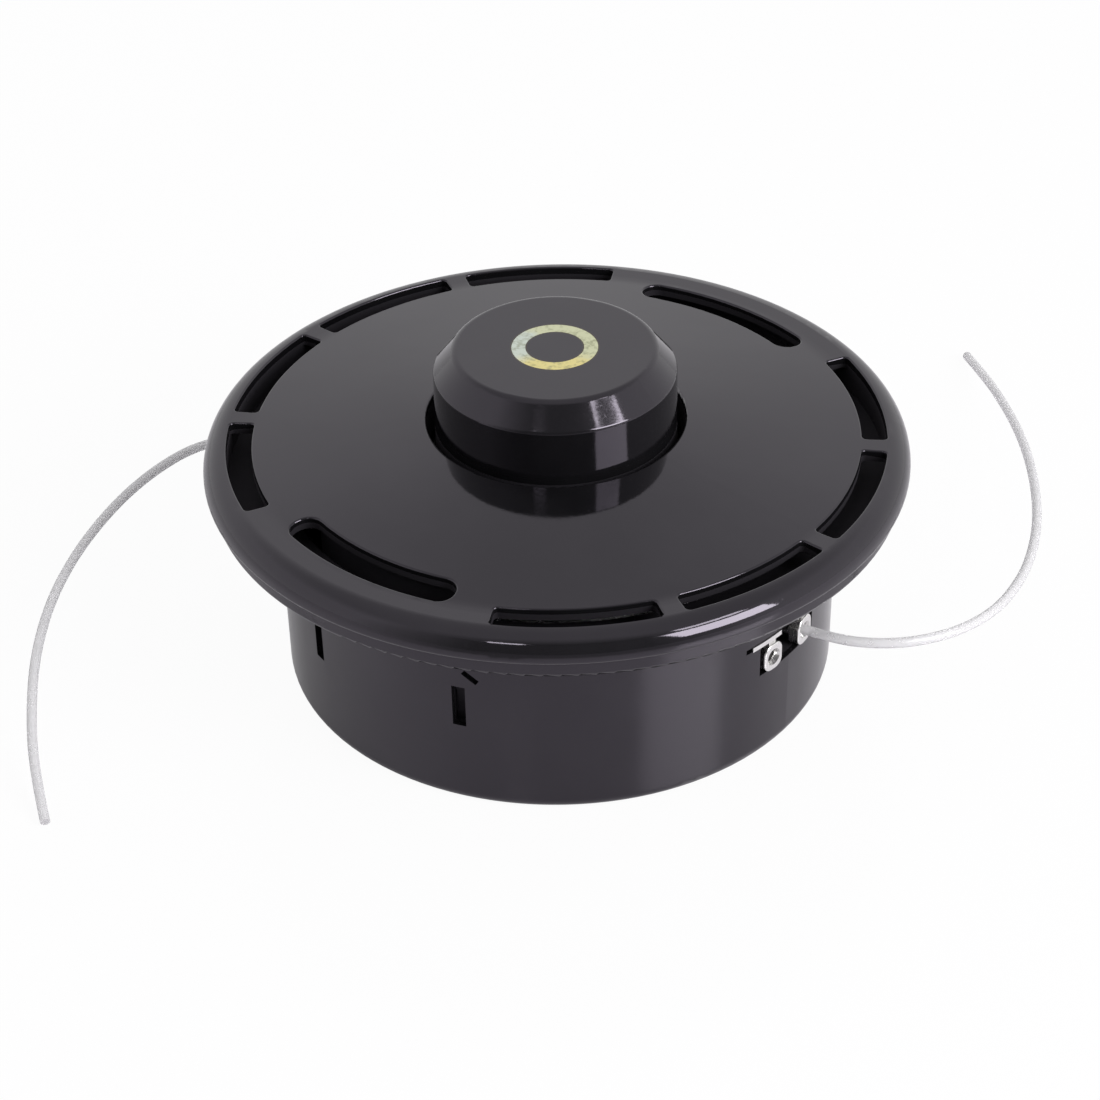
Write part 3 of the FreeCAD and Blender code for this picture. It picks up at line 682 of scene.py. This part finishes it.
def nylon():
    finish = Finish("nylon_line", IOR=1.53, Transmission_Weight=0.5)
    clouds = finish.noise(finish.place, scale=70.0, detail=3.0)
    rubs = finish.spots(scale=520.0, share_from=0.55, share_to=0.75)
    finish.colour(finish.blend(clouds, NYLON_MILKY, NYLON_CLOUD))
    finish.roughness(rubs * RUBS_IN_GLOSS + NYLON_ROUGHNESS)
    return finish


nylon_line = nylon()
for line in lines:
    line.data.materials.append(nylon_line.material)
print("nylon on", len(lines), "lines")

# %% [markdown]
# ## The line on the spool
# Inside the head the line is wound on the spool in close turns, four layers deep. Each layer
# could be a stack of rings, but a real layer is one helix that climbs by the line's own thickness at
# each turn, and the next one winds back down. A Geometry Nodes tree does it from the line's
# size: one spiral, copied for every layer with a larger radius, and a round profile swept along it.

# %% Wound line tree
WOUND_INNER_R = 30.05 * MM
WOUND_OUTER_R = 38.0 * MM
WOUND_LOW_Z = 14.0 * MM
WOUND_HIGH_Z = 42.0 * MM
WOUND_LAYERS = 4
STEPS_PER_TURN = 40
PROFILE_SIDES = 10


def tree_with_inputs(name, numbers):
    """A node tree with one number input for each name, and its Board."""
    tree = bpy.data.node_groups.new(name, "GeometryNodeTree")
    tree.interface.new_socket("Geometry", in_out="OUTPUT", socket_type="NodeSocketGeometry")
    for label in numbers:
        tree.interface.new_socket(label, in_out="INPUT", socket_type="NodeSocketFloat")
    board = Board(tree)
    entry = tree.nodes.new("NodeGroupInput")
    return board, {label: Signal(board, entry.outputs[label]) for label in numbers}


def close_tree(board, geometry, finish):
    """End the tree with real meshes in this finish."""
    real = board.add("GeometryNodeRealizeInstances", {}, {"Geometry": geometry})
    dressed = board.add("GeometryNodeSetMaterial", {}, {"Geometry": real, "Material": finish.material})
    board.feed(board.tree.nodes.new("NodeGroupOutput"), "Geometry", dressed)


def wound_tree(numbers):
    board, given = tree_with_inputs("wound_line_turns", numbers)
    turns = (given["High"] - given["Low"]) / given["Line Diameter"] - 1.0
    height = turns * given["Line Diameter"]
    spiral = board.add("GeometryNodeCurveSpiral", {}, {"Resolution": STEPS_PER_TURN, "Rotations": turns,
                       "Start Radius": 1.0, "End Radius": 1.0, "Height": height})
    layers = board.add("GeometryNodePoints", {}, {"Count": WOUND_LAYERS})
    index = board.add("GeometryNodeInputIndex")
    inner = given["Inner Radius"] + given["Line Diameter"] / 2.0
    outer = given["Outer Radius"] - given["Line Diameter"] / 2.0
    radius = inner + index * ((outer - inner) / (WOUND_LAYERS - 1.0))
    back = index.maths("MODULO", index, 2.0)
    wide = board.add("ShaderNodeCombineXYZ", {}, {"X": radius, "Y": radius, "Z": 1.0 - back * 2.0})
    low_z = given["Low"] + given["Line Diameter"] / 2.0
    start = board.add("ShaderNodeCombineXYZ", {}, {"Z": low_z + height * back})
    placed = board.add("GeometryNodeSetPosition", {}, {"Geometry": layers, "Position": start})
    copies = board.add("GeometryNodeInstanceOnPoints", {}, {"Points": placed, "Instance": spiral,
                       "Scale": wide})
    paths = board.add("GeometryNodeRealizeInstances", {}, {"Geometry": copies})
    section = board.add("GeometryNodeCurvePrimitiveCircle", {}, {"Resolution": PROFILE_SIDES,
                        "Radius": given["Line Diameter"] / 2.0})
    swept = board.add("GeometryNodeCurveToMesh", {}, {"Curve": paths, "Profile Curve": section,
                      "Fill Caps": True})
    smooth = board.add("GeometryNodeSetShadeSmooth", {}, {"Geometry": swept})
    close_tree(board, smooth, nylon_line)
    return board.tree


print("wound line tree ready")


# %% From a tree to a plain mesh
def grow(name, tree, numbers):
    """Run a tree with these numbers and keep its result as an ordinary mesh object."""
    holder = bpy.data.objects.new(name + "_holder", bpy.data.meshes.new(name + "_holder"))
    bpy.context.scene.collection.objects.link(holder)
    modifier = holder.modifiers.new("shape", "NODES")
    modifier.node_group = tree
    for item in tree.interface.items_tree:
        if item.in_out == "INPUT":
            modifier[item.identifier] = float(numbers[item.name])
    depsgraph = bpy.context.evaluated_depsgraph_get()
    mesh = bpy.data.meshes.new_from_object(holder.evaluated_get(depsgraph))
    holder.modifiers.remove(modifier)
    bpy.data.objects.remove(holder)
    mesh.name = name
    piece = bpy.data.objects.new(name, mesh)
    bpy.context.scene.collection.objects.link(piece)
    print(name, "has", len(mesh.polygons), "faces")
    return piece


WOUND_NUMBERS = {"Line Diameter": LINE_D, "Inner Radius": WOUND_INNER_R,
                 "Outer Radius": WOUND_OUTER_R, "Low": WOUND_LOW_Z, "High": WOUND_HIGH_Z}
wound = grow("wound_turns", wound_tree(WOUND_NUMBERS), WOUND_NUMBERS)
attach(wound, "spool_body")
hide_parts("wound_line")

# %% [markdown]
# ## The threaded nut
# The nut that takes the gearbox's spindle has a left-hand thread, so that the turning head never
# undoes itself. The solid has a plain bore of the thread's inner size. A thread could be a bump in
# the finish, but it shows in profile at the bore's mouth, so the nut is one closed mesh: rows of
# points go up the bore, where their radius follows the thread, over the top, down the hexagon and
# back underneath.

# %% Threaded nut
NUT_LOW_Z = 3.2 * MM
NUT_HIGH_Z = 14.2 * MM
NUT_FLATS = 15.8 * MM
THREAD_MINOR_R = 4.33 * MM
THREAD_MAJOR_R = 5.0 * MM
THREAD_PITCH = 1.25 * MM
THREAD_STEEPNESS = 1.4
THREAD_CREST = 0.2
THREAD_MOUTH = 0.14 * MM
ROWS_PER_PITCH = 12
NUT_AROUND = 96
NUT_CORNER_CUT = 0.9 * MM
NUT_FACE_INSET = 0.2 * MM


def thread_radius(z, angle):
    """Radius of the left-hand thread at this height and angle."""
    phase = (z / THREAD_PITCH + angle / math.tau) % 1.0
    flank = THREAD_STEEPNESS * (1.0 - abs(2.0 * phase - 1.0)) - THREAD_CREST
    groove = min(1.0, max(0.0, flank))
    radius = THREAD_MINOR_R + (THREAD_MAJOR_R - THREAD_MINOR_R) * groove
    from_end = min(z - NUT_LOW_Z, NUT_HIGH_Z - z)
    return max(radius, THREAD_MAJOR_R - max(0.0, from_end - THREAD_MOUTH))


def hexagon_radius(angle):
    return NUT_FLATS / 2 / math.cos((angle + math.pi / 6) % (math.pi / 3) - math.pi / 6)


def nut_rows():
    """Each row as a height and a function from angle to radius, round the section once."""
    count = round((NUT_HIGH_Z - NUT_LOW_Z) / THREAD_PITCH * ROWS_PER_PITCH)
    rows = []
    for step in range(count + 1):
        z = NUT_LOW_Z + (NUT_HIGH_Z - NUT_LOW_Z) * step / count
        rows.append((z, lambda angle, z=z: thread_radius(z, angle)))
    cut_r = NUT_FLATS / 2 - NUT_FACE_INSET
    rows.append((NUT_HIGH_Z, lambda angle: cut_r))
    rows.append((NUT_HIGH_Z - NUT_CORNER_CUT, hexagon_radius))
    rows.append((NUT_LOW_Z + NUT_CORNER_CUT, hexagon_radius))
    rows.append((NUT_LOW_Z, lambda angle: cut_r))
    return rows


def make_nut():
    rows = nut_rows()
    points = []
    for z, radius_at in rows:
        for step in range(NUT_AROUND):
            angle = math.tau * step / NUT_AROUND
            radius = radius_at(angle)
            points.append((radius * math.cos(angle), radius * math.sin(angle), z))
    faces = []
    for row in range(len(rows)):
        low, high = row * NUT_AROUND, (row + 1) % len(rows) * NUT_AROUND
        for step in range(NUT_AROUND):
            after = (step + 1) % NUT_AROUND
            faces.append((low + step, high + step, high + after, low + after))
    mesh = bpy.data.meshes.new("threaded_nut")
    mesh.from_pydata(points, [], faces)
    mesh.materials.append(zinc_steel.material)
    nut = bpy.data.objects.new("threaded_nut", mesh)
    bpy.context.scene.collection.objects.link(nut)
    print("nut has", len(faces), "faces")
    return nut


nut = make_nut()
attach(nut, "head")
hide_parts("arbor_nut")

# %% [markdown]
# ## The spring
# Under the spool a spring pushes the knob up, and a bump on the ground shortens it. A solid coil
# could only slide down whole, through the washer it stands on. The coil here is a copy of the
# solid's mesh, with a mesh of its own, that takes the solid's place.

coil_mesh = nodes["spring"].data.copy()
coil = bpy.data.objects.new("pressed_spring", coil_mesh)
bpy.context.scene.collection.objects.link(coil)
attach(coil, "head")
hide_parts("spring")
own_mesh(coil)

# %% [markdown]
# ## The last step

# %% Finish
print("scene built")
